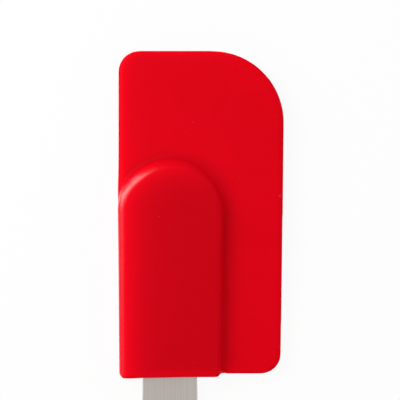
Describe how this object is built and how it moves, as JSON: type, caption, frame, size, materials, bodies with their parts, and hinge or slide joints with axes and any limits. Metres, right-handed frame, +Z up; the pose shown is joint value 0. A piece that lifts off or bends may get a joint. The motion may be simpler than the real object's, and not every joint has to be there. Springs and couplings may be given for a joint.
{
  "type": "silicone spatula",
  "caption": "Flat kitchen spatula: a soft rectangular blade with one large rounded corner, offset on a thick lobe that pulls off a flat steel handle with a hanging hole.",
  "frame": {"origin": "on the flat back of the lobe, on the handle's centre line, half way along the lobe", "axes": "+Y along the handle towards the blade's tip, +X across the blade towards its far edge, +Z up from the back to the front face"},
  "size_m": [0.0547, 0.3088, 0.0094],
  "materials": {
    "silicone": "satin moulded silicone",
    "core_nylon": "fine matt",
    "brushed_steel": "brushed along its length",
    "pin_steel": "ground flush"
  },
  "bodies": {
    "handle": {"steel_handle": "brushed_steel", "core_paddle": "core_nylon", "core_pins": "pin_steel"},
    "head": {"silicone_head": "silicone"}
  },
  "joints": [
    {"name": "head_pull_off", "type": "slide", "parent": "handle", "child": "head", "axis": [0, 1, 0], "range_m": [0, 0.08]}
  ]
}
